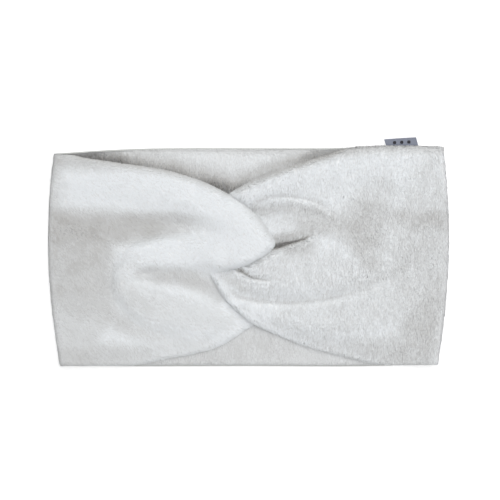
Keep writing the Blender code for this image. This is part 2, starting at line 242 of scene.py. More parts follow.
BACK_NAP_AND_PAINTED_SHADE = [
    # Painted shadow in the V, darkest along the wings' edges.
    (1.0, 2, [(-118, 58.4, 1.35, 4.5), (-106, 57.8, 1.65, 7), (-92, 55.4, 1.55, 8), (-76, 52.8, 1.42, 8),
              (-60, 50.6, 1.20, 8), (-45, 47.4, 1.12, 8.5), (-30, 43, 1.12, 9.5), (-17, 37.5, 1.55, 9.5),
              (-8, 37.5, 1.25, 9), (4, 44.6, 0.90, 6.5), (22, 52.6, 0.90, 5.5), (40, 57.6, 1.22, 5),
              (58, 61.4, 1.3, 4.5)]),
    # Painted shade along the top seam, all over the upper part, and below the wings.
    (1.0, 2, [(-112, 59.5, 1.55, 5), (-98, 60.5, 1.40, 4.5), (-80, 61.5, 1.10, 4), (-40, 62.8, 0.95, 3.5),
              (0, 62.8, 1.0, 4), (40, 62.8, 1.1, 4)]),
    (1.0, 4, [(-60, 54, 0.25, 16), (40, 54, 0.25, 16)]),
    (1.0, 3, [(-100, -67, 0.50, 8), (-60, -66, 0.50, 8), (-20, -62, 0.52, 12), (10, -58, 0.52, 16),
              (50, -66, 0.38, 8), (100, -67, 0.45, 8)]),
]


def smooth_line(points, spacing=1.5):
    """Catmull-Rom curve through points with any number of columns, sampled about every spacing mm."""
    p = np.array(points, float)
    p = np.vstack([2 * p[0] - p[1], p, 2 * p[-1] - p[-2]])
    out = []
    for a, b, c, d in zip(p, p[1:], p[2:], p[3:]):
        steps = max(2, int(np.hypot(*(c - b)[:2]) / spacing))
        t = (np.arange(steps) / steps)[:, None]
        square = 2 * a - 5 * b + 4 * c - d
        cube = 3 * b - a - 3 * c + d
        out.append(0.5 * (2 * b + (c - a) * t + square * t**2 + cube * t**3))
    out.append(p[-2][None])
    return np.vstack(out)


def outline(*lists):
    """One closed outline from lists of points whose ends meet at corners."""
    return np.vstack([smooth_line(points)[:-1] for points in lists])


def nearest(path, xy, closed=False):
    """For each point of xy: distance to the path, the path's values there, and the side, +1 for left."""
    ends = np.roll(path, -1, axis=0) if closed else path[1:]
    starts = path if closed else path[:-1]
    a, step = starts[:, :2], (ends - starts)[:, :2]
    length2 = np.maximum((step**2).sum(1), 1e-12)
    best = np.full(len(xy), np.inf)
    values = np.zeros((len(xy), path.shape[1]))
    side = np.ones(len(xy))
    for i in range(len(a)):
        rel = xy - a[i]
        t = np.clip(rel @ step[i] / length2[i], 0, 1)
        off = rel - t[:, None] * step[i]
        d = (off**2).sum(1)
        near = d < best
        best[near] = d[near]
        values[near] = starts[i] + t[near, None] * (ends[i] - starts[i])
        side[near] = np.sign(step[i][0] * rel[near, 1] - step[i][1] * rel[near, 0])
    return np.sqrt(best), values, side


def inside(path, xy):
    """Which points are inside a closed outline."""
    x, y = xy[:, 0], xy[:, 1]
    odd = np.zeros(len(xy), bool)
    for (x0, y0), (x1, y1) in zip(path[:, :2], np.roll(path, -1, axis=0)[:, :2]):
        if y0 != y1:
            odd ^= ((y0 > y) != (y1 > y)) & (x < (x1 - x0) * (y - y0) / (y1 - y0) + x0)
    return odd


def depth_in(path, xy):
    """Distance inside the outline, negative outside it, and the nearest point on it."""
    distance, values, _ = nearest(path, xy, closed=True)
    return np.where(inside(path, xy), distance, -distance), values[:, :2]


def strokes(lines, xy):
    """Each line's height or strength at each point."""
    for right_share, power, points in lines:
        distance, values, side = nearest(smooth_line(points, 2.5), xy)
        width = values[:, 3] * np.where(side > 0, 1.0, right_share)
        yield values[:, 2] * np.exp(-((distance / width) ** power))


def relief(folds, xy):
    """Sum of the folds' heights at each point."""
    return sum(strokes(folds, xy), np.zeros(len(xy)))


def nap_and_shade_at(lines, xy):
    """Strength of the lines at each point, for painted shade, steeper nap and pressing: lines that overlap
    hardly add up.
    """
    return sum((np.maximum(s, 0) ** 3 for s in strokes(lines, xy)), np.zeros(len(xy))) ** (1 / 3)


def ease(t):
    """Smooth step from 0 to 1."""
    t = np.clip(t, 0, 1)
    return t * t * (3 - 2 * t)


def round_over(depth, radius):
    """Height share of a rounded edge: 0 at the edge, 1 from radius inwards."""
    t = np.clip(depth / radius, 0, 1)
    return np.sqrt(np.maximum(1 - (1 - t) ** 2, 0))


def at_least(height, low, softness=0.8):
    """height, held above low with a soft bend."""
    return low + softness * np.logaddexp(0, (height - low) / softness)


def wobble(xy, size, seed):
    """Soft noise with lumps of about that size."""
    return np.array([noise.noise(Vector((x / size, y / size, seed))) for x, y in xy])


# The rim of the left lobe: down its upper edge, round its nose and back along its lower edge.
LOBE_UNDERSIDE = [(14.4, 2.6), (10.5, -0.8), (4.5, -4.9), (-6.9, -9.4), (-23.4, -11.6), (-40.0, -12.0)]
LOBE_LINE = smooth_line(LEFT_TOP[5::-1] + LOBE_UNDERSIDE)
RIGHT_EDGE_LINE = smooth_line(RIGHT_EDGE)


def shell(crown, low, depth, radius, rim):
    """Top and bottom surfaces of a padded sheet with a rounded rim, rim giving its height as a share."""
    edge = np.minimum(FRONT_MIDDLE, low + (crown - low) * rim)
    top = edge + (crown - edge) * round_over(depth, radius)
    bottom = edge - (edge - low) * round_over(depth, 2.5)
    return top, bottom


def near_edge(edge, xy, reach):
    """1 on one of the sheet's edges, falling to 0 away from it."""
    return np.exp(-((nearest(smooth_line(edge), xy)[0] / reach) ** 2))


def left_heights(xy, depth):
    """The left wing ends in a rolled lobe over the right wing, and its tail goes on under the right one."""
    crown = at_least(PLUMP + relief(LEFT_FOLDS, xy) + 0.3 * wobble(xy, 16.0, 1.0), FRONT_LOW + 1.5)
    to_lobe, _, lobe_side = nearest(LOBE_LINE, xy)
    to_edge, _, edge_side = nearest(RIGHT_EDGE_LINE, xy)
    # The rim rolls down round the nose, and less and less towards the left end and the upper edge.
    fade = ease((xy[:, 0] + 26) / 16) * ease((20 - xy[:, 1]) / 8)
    rolled = 1 - LOBE_DROP * fade * (1 - round_over(to_lobe, LOBE_ROLL))
    # Past the rim is the tail, which keeps its height where it shows and goes down under the right wing.
    shown = ease((6 - to_edge * edge_side) / 14)
    beyond = shown + (1 - LOBE_DROP * fade - shown) * np.exp(-((to_lobe / 3) ** 2))
    share = np.where(lobe_side > 0, beyond, rolled)
    share = np.where(xy[:, 1] > 20, 1.0, share)
    # Flatter and lower along the bottom edge, but not at the band's corner.
    bottom = near_edge(LEFT_BOTTOM, xy, 10.0) * ease((xy[:, 0] + 112) / 24)
    crown = TAIL + (crown - TAIL) * share * (1 - 0.6 * bottom) - 1.6 * bottom
    low = FRONT_LOW + SKIN * (1 - 0.6 * bottom)
    radius = np.clip(0.55 * (crown - FRONT_MIDDLE), 3.0, 6.5)
    return shell(crown, low, depth, radius, 0.25 - 0.2 * bottom)


def right_heights(xy, depth):
    """The right wing dives under the left lobe, and its own lower edge lies over the left wing."""
    crown = at_least(PLUMP + relief(RIGHT_FOLDS, xy) + 0.3 * wobble(xy, 16.0, 2.0), FRONT_LOW + 1.2)
    # It goes down from 5 mm outside the lobe's rim to 4 mm inside it.
    distance, _, side = nearest(LOBE_LINE, xy)
    under = np.where(xy[:, 0] > -34, ease((5 - distance * side) / 9), 0.0)
    crown = crown - under * (crown - np.minimum(crown, TAIL))
    # Its lower left end is lifted onto the left wing. The rest of its lower edge is flatter, as on the left.
    over = ease((16 - xy[:, 0]) / 24) * ease((6 - xy[:, 1]) / 14)
    bottom = near_edge(RIGHT_EDGE, xy, 9.0) * (1 - over) * ease((112 - xy[:, 0]) / 24)
    crown = TAIL + (crown - TAIL) * (1 - 0.6 * bottom) - 1.6 * bottom + 0.6 * over
    low = np.minimum(FRONT_LOW + SKIN * (1 - 0.6 * bottom) + 2.4 * over, crown - 0.9)
    radius = np.clip(0.5 * (crown - FRONT_MIDDLE), 2.6, 5.0)
    return shell(crown, low, depth, radius, 0.25 - 0.2 * bottom)


def back_heights(xy, depth):
    """Flat, but pressed down a little where the wings rest on it at the V, and swelling below them."""
    pressed = np.clip(nap_and_shade_at(BACK_NAP_AND_PAINTED_SHADE[:1], xy), 0, 1)
    swell = 0.2 * wobble(xy, 28.0, 4.0) - 1.2 * pressed + 0.8 * ease((-36 - xy[:, 1]) / 14)
    top = BACK_MIDDLE + (BACK_HIGH - 0.7 - BACK_MIDDLE + swell) * round_over(depth, 2.2)
    bottom = BACK_MIDDLE - (BACK_MIDDLE - 0.6) * round_over(depth, 2.2)
    return top, bottom


def add_mesh(name, points, faces):
    """A new smooth-shaded object from points in millimetres."""
    mesh = bpy.data.meshes.new(name)
    mesh.from_pydata((np.asarray(points) * MM).tolist(), [], faces)
    mesh.validate()
    mesh.shade_smooth()
    obj = bpy.data.objects.new(name, mesh)
    bpy.context.collection.objects.link(obj)
    return obj


def sheet_mesh(name, path, heights, cell, cut=None):
    """A closed sheet over the outline.

    Cells are a regular grid, and those that cross the outline have their outer corners moved onto it.
    cut = (sign, x) keeps only one side of a line across the band.
    """
    low, high = path.min(0)[:2] - cell, path.max(0)[:2] + cell
    xs = np.arange(low[0], high[0] + cell, cell)
    ys = np.arange(low[1], high[1] + cell, cell)
    if cut:
        xs += cut[1] - xs[np.abs(xs - cut[1]).argmin()]
    gx, gy = np.meshgrid(xs, ys)
    xy = np.column_stack([gx.ravel(), gy.ravel()])
    depth, foot = depth_in(path, xy)
    outside = depth <= 0
    columns = len(xs)
    corner = (np.arange(len(ys) - 1)[:, None] * columns + np.arange(columns - 1)).ravel()
    cells = np.column_stack([corner, corner + 1, corner + columns + 1, corner + columns])
    cells = cells[(~outside[cells]).any(1)]
    if cut:
        sign, at = cut
        centre = xy[cells, 0].mean(1)
        cells = cells[sign * (centre - at) > 0]
    xy = np.where(outside[:, None], foot, xy)
    depth = np.maximum(depth, 0)
    used = np.unique(cells)
    number = np.full(len(xy), -1)
    number[used] = np.arange(len(used))
    xy, depth, cells = xy[used], depth[used], number[cells]
    top, bottom = heights(xy, depth)
    rim = depth == 0
    under = np.arange(len(xy))
    under[~rim] = len(xy) + np.arange((~rim).sum())
    points = np.vstack([np.column_stack([xy, top]), np.column_stack([xy[~rim], bottom[~rim]])])
    faces = np.vstack([cells, under[cells][:, ::-1]])
    if cut:
        faces = np.vstack([faces, cut_wall(cells, under, xy, cut)])
    faces = [tuple(dict.fromkeys(f)) for f in faces.tolist()]
    sheet = add_mesh(name, points, [f for f in faces if len(f) > 2])
    if cut:
        sheet.data.set_sharp_from_angle(angle=math.radians(70))
    return sheet


def cut_wall(cells, under, xy, cut):
    """Faces that close the sheet along its cut."""
    starts, ends = cells.ravel(), np.roll(cells, -1, axis=1).ravel()
    on_cut = (np.abs(xy[starts, 0] - cut[1]) < 1e-6) & (np.abs(xy[ends, 0] - cut[1]) < 1e-6)
    starts, ends = starts[on_cut], ends[on_cut]
    return np.column_stack([ends, starts, under[starts], under[ends]])


def surface_points(mesh, density, rng):
    """Random points on a mesh, density per square mm, and its smooth normals there."""
    mesh.calc_loop_triangles()
    co = np.empty(len(mesh.vertices) * 3)
    mesh.vertices.foreach_get("co", co)
    co = co.reshape(-1, 3) / MM
    normals = np.array([v.vector for v in mesh.corner_normals])
    tri = np.empty(len(mesh.loop_triangles) * 3, int)
    mesh.loop_triangles.foreach_get("vertices", tri)
    tri = tri.reshape(-1, 3)
    corners = np.empty(len(mesh.loop_triangles) * 3, int)
    mesh.loop_triangles.foreach_get("loops", corners)
    corners = corners.reshape(-1, 3)
    a, b, c = co[tri[:, 0]], co[tri[:, 1]], co[tri[:, 2]]
    area = np.linalg.norm(np.cross(b - a, c - a), axis=1) / 2
    count = int(area.sum() * density)
    pick = rng.choice(len(tri), count, p=area / area.sum())
    u, v = rng.random(count), rng.random(count)
    flip = u + v > 1
    u[flip], v[flip] = 1 - u[flip], 1 - v[flip]
    w = (1 - u - v)[:, None]
    u, v = u[:, None], v[:, None]
    base = a[pick] * w + b[pick] * u + c[pick] * v
    up = normals[corners[pick, 0]] * w + normals[corners[pick, 1]] * u + normals[corners[pick, 2]] * v
    return base, unit(up)


def unit(vectors):
    """Rows scaled to length 1."""
    return vectors / np.maximum(np.linalg.norm(vectors, axis=1), 1e-9)[:, None]


def streaks(xy, angle, seed):
    """Noise with lumps about 4 mm long in a direction and 1 mm wide."""
    along = xy @ np.array([math.cos(angle), math.sin(angle)]) / 4.0
    across = xy @ np.array([-math.sin(angle), math.cos(angle)])
    return wobble(np.column_stack([along, across]), 1.0, seed)


# Blades of the pile: the plush's own white, then darker and darker tints of painted shade, the darkest for
# the shade in a slit.
PILE_TINTS = [
    (0.885, 0.91, 0.93), (0.82, 0.84, 0.852), (0.752, 0.765, 0.77),
    (0.69, 0.697, 0.697), (0.62, 0.62, 0.613), (0.54, 0.535, 0.523),
    (0.44, 0.433, 0.42), (0.32, 0.312, 0.30), (0.19, 0.184, 0.175),
]
# Tints per unit of painted shade.
FULL_SHADE_TINT = 5
# How deep blades root, the width of the band's rim where they are shorter, how steeply they hang on a rim,
# and how much painted shade darkens them on a rim that faces the light.
ROOT_DEPTH = 0.25
OUTER_RIM = 5.0
RIM_HANG = 0.45
RIM_PAINTED_SHADE = 0.36


def comb_over(angle, up, on_rim):
    """The directions that blades lie in and stand up in. On a rim they turn outwards and hang."""
    lie = np.column_stack([np.cos(angle), np.sin(angle), np.full(len(angle), -0.3)])
    lie = unit(lie - up * (lie * up).sum(1)[:, None])
    lie = unit(lie * (1 - on_rim) + (unit(up * (1, 1, 0)) + (0, 0, -RIM_HANG)) * on_rim)
    upright = np.where(up[:, 2:] > -0.3, (0, 0, 1), (0, 0, -1))
    return lie, unit(up * (1 - 0.85 * on_rim) + upright * on_rim)


def add_blades(name, points, tints, facing):
    """An object of four-cornered blades with a tint for each and a shading direction for each corner."""
    mesh = bpy.data.meshes.new(name)
    mesh.vertices.add(len(points))
    mesh.vertices.foreach_set("co", (points * MM).astype(np.float32).ravel())
    mesh.loops.add(len(points))
    mesh.loops.foreach_set("vertex_index", np.arange(len(points), dtype=np.int32))
    mesh.polygons.add(len(tints))
    mesh.polygons.foreach_set("loop_start", np.arange(len(tints), dtype=np.int32) * 4)
    mesh.polygons.foreach_set("material_index", tints)
    mesh.update(calc_edges=True)
    mesh.shade_smooth()
    mesh.normals_split_custom_set_from_vertices(facing.astype(np.float32))
    obj = bpy.data.objects.new(name, mesh)
    bpy.context.collection.objects.link(obj)
    for shade in range(len(PILE_TINTS)):
        mesh.materials.append(pile_material(shade))
    return obj


def grow_pile(name, sheet, density, length, comb, lift, seed, keep=None, path=None, nap_and_shade=(), deep=(),
              floor=None, width=0.5, rough=1.0, spread=1.0):
    """Pile of short flat blades on a sheet, density of them per square mm.

    comb is the direction in degrees that they lie in, lift how steeply they stand, in radians, and rough how
    unevenly. keep(points, normals) chooses where they grow. Near the outline path blades are shorter, and on
    other rims they spread outwards as far as spread says. Where the nap-and-shade lines are strong they take
    darker tints, painted shade, and stand a little steeper, and on rims that face the light they are painted
    a little darker. Along the deep lines they are short and painted dark for the shade of a slit. None goes
    below floor.
    """
    rng = np.random.default_rng(seed)
    base, up = surface_points(sheet.data, density, rng)
    if keep is not None:
        chosen = keep(base, up)
        base, up = base[chosen], up[chosen]
    count = len(base)
    flat = base[:, :2]

    # Directions: combed one way, with wide swirls, streaks and single blades astray.
    patch = wobble(flat, 7.0, seed + 0.5)
    streak = streaks(flat, math.radians(comb), seed + 1.5)
    uneven = 0.22 * streak + rng.normal(0, 0.13, count)
    angle = math.radians(comb) + 0.45 * wobble(flat, 26.0, seed) + rough * uneven
    outer = np.zeros(count)
    if path is not None:
        outer = 1 - ease(nearest(path, flat, closed=True)[0] / OUTER_RIM)
    on_rim = spread * (1 - outer) * ease((0.92 - np.abs(up[:, 2])) / 0.6)
    lit_rim = on_rim * np.clip(0.5 + 0.7 * up[:, 1], 0, 1)
    lie, up = comb_over(angle, up, on_rim[:, None])

    # Lengths, and the painted shade under each blade's middle, where it is seen.
    size = length * rng.uniform(0.7, 1.15, count) * (1 - 0.5 * on_rim) * (1 - 0.5 * outer)
    seen = flat + lie[:, :2] * size[:, None] * 0.5
    size *= 1 - 0.3 * np.clip(nap_and_shade_at(deep, flat), 0, 1)
    nap_shade = np.clip(nap_and_shade_at(nap_and_shade, seen) * (1 + 0.15 * patch), 0, 1.5)
    nap_shade = np.maximum(nap_shade, nap_and_shade_at(deep, seen))
    # Random streaky tone, and painted shade on rims that face the light.
    nap_shade = nap_shade + rough * (0.08 * streak + 0.03 * patch) + RIM_PAINTED_SHADE * lit_rim

    # Each blade is a kite that rises from its root and bends over towards its tip.
    stand = lift + 0.08 * np.minimum(nap_shade, 1) + 0.12 * rough * streak
    stand = (stand * rng.uniform(1 - 0.25 * rough, 1 + 0.25 * rough, count))[:, None]
    rise = up * np.sin(stand) + lie * np.cos(stand)
    late = up * np.sin(stand * 0.4) + lie * np.cos(stand * 0.4)
    across = unit(np.cross(rise, up))
    roll = rng.normal(0, 0.3 * rough, count)[:, None]
    across = across * np.cos(roll) + up * np.sin(roll)
    half = across * (width * rng.uniform(0.7, 1.2, count)[:, None] / 2)
    root = base - up * ROOT_DEPTH
    middle = root + rise * size[:, None] * 0.5
    tip = middle + late * size[:, None] * 0.5
    points = np.stack([root, middle + half, tip, middle - half], axis=1).reshape(-1, 3)
    if floor is not None:
        points[:, 2] = np.maximum(points[:, 2], floor)

    # Shading directions lean towards the cloth's own, so that the blades read as one soft surface.
    # Darker tints are painted shade.
    tints = np.round(nap_shade * FULL_SHADE_TINT + rng.normal(0, 0.3 * rough, count))
    tints = np.clip(tints, 0, len(PILE_TINTS) - 1).astype(np.int32)
    soft = up * 0.62 + np.cross(across, rise) * 0.12
    soft[:, 2] += 0.45 * spread * (1 - 0.6 * outer) * np.sign(up[:, 2])
    return add_blades(name, points, tints, unit(np.repeat(soft, 4, axis=0)))


def principled(name, colour, roughness):
    """A material of that name, and its shader if it has just been made."""
    found = bpy.data.materials.get(name)
    if found:
        return found, None
    made = bpy.data.materials.new(name)
    made.use_nodes = True
    shader = made.node_tree.nodes["Principled BSDF"]
    shader.inputs["Base Color"].default_value = (*colour, 1)
    shader.inputs["Roughness"].default_value = roughness
    shader.inputs["Specular IOR Level"].default_value = 0.2
    return made, shader


def texture(made, kind, **settings):
    """A texture in a material, over the object's own coordinates."""
    nodes, links = made.node_tree.nodes, made.node_tree.links
    added = nodes.new(kind)
    for name, value in settings.items():
        added.inputs[name].default_value = value
    links.new(nodes.new("ShaderNodeTexCoord").outputs["Object"], added.inputs["Vector"])
    return added


def colour_between(made, factor, dark, light, start=0.0, end=1.0):
    """The base colour goes from dark to light while factor goes from start to end."""
    nodes, links = made.node_tree.nodes, made.node_tree.links
    ramp = nodes.new("ShaderNodeValToRGB")
    for stop, position, colour in zip(ramp.color_ramp.elements, (start, end), (dark, light)):
        stop.position = position
        stop.color = (*colour, 1)
    links.new(factor, ramp.inputs["Fac"])
    links.new(ramp.outputs["Color"], nodes["Principled BSDF"].inputs["Base Color"])


def raise_threads(made, height, strength, distance):
    """Bump from a 0 to 1 height, distance in metres."""
    nodes, links = made.node_tree.nodes, made.node_tree.links
    bump = nodes.new("ShaderNodeBump")
    bump.inputs["Strength"].default_value = strength
    bump.inputs["Distance"].default_value = distance
    links.new(height, bump.inputs["Height"])
    links.new(bump.outputs["Normal"], nodes["Principled BSDF"].inputs["Normal"])


def pile_material(shade):
    """One tint of the pile, with the sheen of its fibres."""
    made, shader = principled(f"pile_{shade}", PILE_TINTS[shade], 0.85)
    if shader:
        shader.inputs["Sheen Weight"].default_value = 0.25
        shader.inputs["Sheen Roughness"].default_value = 0.6
    return made


def ground_material(shade):
    """The knitted ground that the pile grows from: mottled, with fine wales, and as dark as the pile's tint
    of painted shade.
    """
    dim = PILE_TINTS[shade][1] / PILE_TINTS[0][1]
    made, shader = principled(f"plush_ground_{shade}", (0.82 * dim,) * 3, 0.95)
    if shader:
        mottle = texture(made, "ShaderNodeTexNoise", Scale=60, Detail=6)
        dark, light = (0.78 * dim, 0.785 * dim, 0.79 * dim), (0.86 * dim, 0.87 * dim, 0.875 * dim)
        colour_between(made, mottle.outputs["Fac"], dark, light, 0.35, 0.65)
        wales = texture(made, "ShaderNodeTexWave", Scale=260, Distortion=1.5)
        raise_threads(made, wales.outputs["Fac"], 0.25, 0.0003)
    return made


# The ground's painted shades, as numbers of the pile's tints, and the strength at which each gives way to
# the next.
GROUND_SHADES = (0, 1, 2, 3, 5, 6, 7)
GROUND_STEPS = (0.14, 0.30, 0.46, 0.92, 1.08, 1.3)


def lay_ground(sheet, nap_and_shade=(), deep=()):
    """Ground material on a sheet, in steps of painted shade after the nap-and-shade lines. Without them it
    is all of the first shade.
    """
    for shade in GROUND_SHADES if nap_and_shade else GROUND_SHADES[:1]:
        sheet.data.materials.append(ground_material(shade))
    if nap_and_shade:
        middles = np.array([p.center for p in sheet.data.polygons])[:, :2] / MM
        upper = np.array([p.normal.z for p in sheet.data.polygons]) > 0
        nap_shade = np.maximum(nap_and_shade_at(nap_and_shade, middles), nap_and_shade_at(deep, middles)) * upper
        nap_shade += 0.06 * wobble(middles, 1.3, 8.0)
        index = np.searchsorted(GROUND_STEPS, nap_shade)
        sheet.data.polygons.foreach_set("material_index", index.astype(np.int32))


def bend(obj):
    """obj's placement, baked into its mesh."""
    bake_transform(obj)


def faces_up(points, normals):
    """Which points are on a sheet's face or its rim. Like those below, for grow_pile's keep."""
    return normals[:, 2] > -0.3


def faces_down(points, normals):
    """Which points are on a sheet's underside."""
    return normals[:, 2] < -0.3


def clear_of_cut(facing, sign):
    """The same for one half of the back panel, without the wall along its cut."""

    def keep(points, normals):
        return facing(points, normals) & (sign * (points[:, 0] - BACK_CUT) > CUT_CLEARANCE)

    return keep


def cord_mesh(name, line, radius):
    """A closed round cord along a line of 3-D points in millimetres, its radius beaded by the stitches."""
    line = np.asarray(line, float)
    along = unit(np.gradient(line, axis=0))
    side = unit(np.cross(along, (0.0, 0.0, 1.0)))
    up = np.cross(side, along)
    run = np.concatenate([[0], np.cumsum(np.linalg.norm(np.diff(line, axis=0), axis=1))])
    size = radius * (1 + CORD_BEAD * np.sin(2 * math.pi * run / CORD_PITCH))
    turn = np.arange(CORD_POINTS) * 2 * math.pi / CORD_POINTS
    ring = np.cos(turn)[None, :, None] * side[:, None] + np.sin(turn)[None, :, None] * up[:, None]
    points = (line[:, None] + ring * size[:, None, None]).reshape(-1, 3)
    return add_mesh(name, points, tube_faces(len(line), CORD_POINTS))


def tube_faces(rings, sides):
    """Faces of a tube of rings of points, closed at both ends."""
    here = np.arange(rings - 1)[:, None] * sides + np.arange(sides)
    beside = np.arange(rings - 1)[:, None] * sides + (np.arange(sides) + 1) % sides
    walls = np.stack([here, here + sides, beside + sides, beside], axis=2).reshape(-1, 4)
    last = (rings - 1) * sides
    return walls.tolist() + [list(range(sides)), list(range(last + sides - 1, last - 1, -1))]


# The point that lines set in from the edge move towards.
BAND_MIDDLE = np.array([0.0, -4.0])


def edge_line(points, level, inset=0.0):
    """A list of outline points as a 3-D line at one height, moved inset mm towards the band's middle."""
    flat = smooth_line(points, 0.8)
    flat = flat + inset * unit(BAND_MIDDLE - flat)
    return np.column_stack([flat, np.full(len(flat), level)])


def between(line, low, high):
    """The stretch of a line, on which x keeps rising or falling, between two values of x."""
    line = line[np.argsort(line[:, 0])]
    low, high = max(low, line[0, 0]), min(high, line[-1, 0])
    within = (line[:, 0] > low + 0.1) & (line[:, 0] < high - 0.1)
    x = np.concatenate([[low], line[within, 0], [high]])
    return np.column_stack([x] + [np.interp(x, line[:, 0], line[:, axis]) for axis in (1, 2)])


def seam_material():
    """Twisted sewing thread, a little darker than the plush."""
    made, shader = principled("seam_thread", (0.55, 0.56, 0.54), 0.8)
    if shader:
        ply = texture(made, "ShaderNodeTexWave", Scale=420)
        ply.bands_direction = "DIAGONAL"
        colour_between(made, ply.outputs["Fac"], (0.48, 0.49, 0.47), (0.66, 0.67, 0.65))
        raise_threads(made, ply.outputs["Fac"], 0.5, 0.0002)
    return made


def seam(name, line, radius):
    """A turned edge or a row of stitching, as a beaded cord."""
    obj = cord_mesh(name, line, radius)
    obj.data.materials.append(seam_material())
    return obj


def build_wing(side, sign, path, band, heights, comb, lift, rough, nap_and_shade, deep, edges):
    """One front wing: its padded sheet, the pile on its face, the shorter pile on its lining, its seams."""
    sheet = sheet_mesh(f"{side}_wing", path, heights, WING_CELL)
    lay_ground(sheet, nap_and_shade, deep)
    face = grow_pile(f"{side}_wing_pile", sheet, 4.0, 2.9, comb, lift, SEED + sign, keep=faces_up,
                     path=band, nap_and_shade=nap_and_shade, deep=deep, rough=rough)
    lining = grow_pile(f"{side}_wing_lining_pile", sheet, 1.3, 2.2, -90, 0.18, SEED + 4 + sign,
                       keep=faces_down, path=path, width=0.6)
    pieces = [sheet, face, lining]
    for edge, points in edges.items():
        cord = seam(f"{side}_wing_{edge}_edge", edge_line(points, FRONT_LOW + 0.9, 1.4), 0.5)
        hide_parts(f"{side}_wing_{edge}_seam")
        pieces.append(cord)
    for obj in pieces:
        bend(obj)
    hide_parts(f"{side}_wing_outer", f"{side}_wing_lining", f"{side}_hook", f"{side}_hook_lining")


def build_back(side, sign, path, columns, reach):
    """One half of the back panel, which meets the other half on a line across the band.

    columns are the columns of CAD nodes that it stands for, and reach its first and last x.
    """
    sheet = sheet_mesh(f"back_{side}_half", path, back_heights, BACK_CELL, cut=(sign, BACK_CUT))
    lay_ground(sheet, BACK_NAP_AND_PAINTED_SHADE)
    inner = grow_pile(f"back_{side}_pile", sheet, 3.0, 2.6, -90, 0.35, SEED + 10 + sign,
                      keep=clear_of_cut(faces_up, sign), path=path, nap_and_shade=BACK_NAP_AND_PAINTED_SHADE, rough=0.8)
    outer = grow_pile(f"back_{side}_outer_pile", sheet, 1.6, 2.4, -90, 0.10, SEED + 14 + sign,
                      keep=clear_of_cut(faces_down, sign), path=path, floor=0.05, width=0.6)
    pieces = [sheet, inner, outer]
    for edge, points in (("top", BACK_TOP), ("bottom", BACK_BOTTOM)):
        line = between(edge_line(points, BACK_MIDDLE), *reach)
        cord = seam(f"back_{side}_{edge}_edge", line, 0.55)
        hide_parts(*[f"back_{edge}_seam_{column}" for column in columns])
        pieces.append(cord)
    for obj in pieces:
        bend(obj)
    layers = ("outer", "inner")
    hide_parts(*[f"back_{layer}_{column}" for layer in layers for column in columns])


def side_roll(name, side_points, sign, low, high, waist=0.0):
    """The rounded side of the band between two heights, drawn in at half height where waist is over 0."""
    line = edge_line(side_points, (low + high) / 2, ROLL_WIDTH + 0.4)
    along = unit(np.gradient(line, axis=0))
    out = unit(np.cross(along, (0.0, 0.0, 1.0)))
    out *= np.where((out[:, 0] * sign) < 0, -1.0, 1.0)[:, None]
    turn = np.arange(ROLL_POINTS) * 2 * math.pi / ROLL_POINTS
    wide = ROLL_WIDTH * np.cos(turn) * (1 - waist * np.cos(turn) ** 8)
    tall = (high - low) / 2 * np.sin(turn)
    points = line[:, None] + out[:, None] * wide[None, :, None]
    points[:, :, 2] += tall
    obj = add_mesh(name, points.reshape(-1, 3), tube_faces(len(line), ROLL_POINTS))
    face = [p for p in obj.data.polygons if p.center.x * sign > ROLL_FACE * MM]
    if sum(p.normal.x * sign * p.area for p in face) < 0:
        obj.data.flip_normals()
    lay_ground(obj)
    pile = grow_pile(name + "_pile", obj, 4.5, 2.0, -90, 0.4, SEED + 30 + sign, rough=1.3, spread=0.0)
    return obj, pile


def build_sides():
    """The side seams. The left one joins the back to the front. The right one is two rolls that meet at the
    seam, one on each panel."""
    for obj in side_roll("left_side_gusset", LEFT_SIDE, -1, BACK_MIDDLE, FRONT_MIDDLE, waist=0.6):
        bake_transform(obj)
    for obj in side_roll("right_side_roll_back", RIGHT_SIDE, 1, BACK_MIDDLE, SEAM_LEVEL - 0.1):
        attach(obj, "back_right")
    for obj in side_roll("right_side_roll_front", RIGHT_SIDE, 1, SEAM_LEVEL + 0.1, FRONT_MIDDLE):
        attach(obj, "front_right")
    for side, points in (("left", LEFT_SIDE), ("right", RIGHT_SIDE)):
        cord = seam(f"{side}_side_stitching", edge_line(points, SEAM_LEVEL, 0.75), 0.55)
        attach(cord, f"back_{side}")
        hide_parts(f"{side}_side_seam")


def label_material():
    """Fine satin weave in grey-blue: warp and weft threads crossing."""
    made, shader = principled("label_weave", (0.30, 0.32, 0.38), 0.55)
    if not shader:
        return made
    cross = made.node_tree.nodes.new("ShaderNodeMath")
    cross.operation = "MULTIPLY"
    for threads, (direction, scale) in zip(cross.inputs, (("X", 900), ("Y", 700))):
        wave = texture(made, "ShaderNodeTexWave", Scale=scale, Distortion=0.6)
        wave.bands_direction = direction
        made.node_tree.links.new(wave.outputs["Fac"], threads)
    colour_between(made, cross.outputs[0], (0.175, 0.19, 0.235), (0.315, 0.335, 0.41))
    raise_threads(made, cross.outputs[0], 0.4, 0.0001)
    return made


def label_profile(root, top):
    """The folded strip seen from its side, as a closed line of y and height round both leaves."""
    gap = (LABEL_TOTAL - LABEL_LEAF) / 2
    fold = top - LABEL_TOTAL / 2 - LABEL_TILT
    straight = np.linspace(root, fold, 18)
    turn = np.linspace(0, math.pi, 9)
    lane = [(y, -gap) for y in straight]
    lane += [(fold + gap * math.sin(a), -gap * math.cos(a)) for a in turn[1:-1]]
    lane += [(y, gap) for y in straight[::-1]]
    lane = np.array(lane)
    along = unit(np.gradient(lane, axis=0))
    half_leaf = np.column_stack([along[:, 1], -along[:, 0]]) * (LABEL_LEAF / 2)
    return np.vstack([lane + half_leaf, (lane - half_leaf)[::-1]])


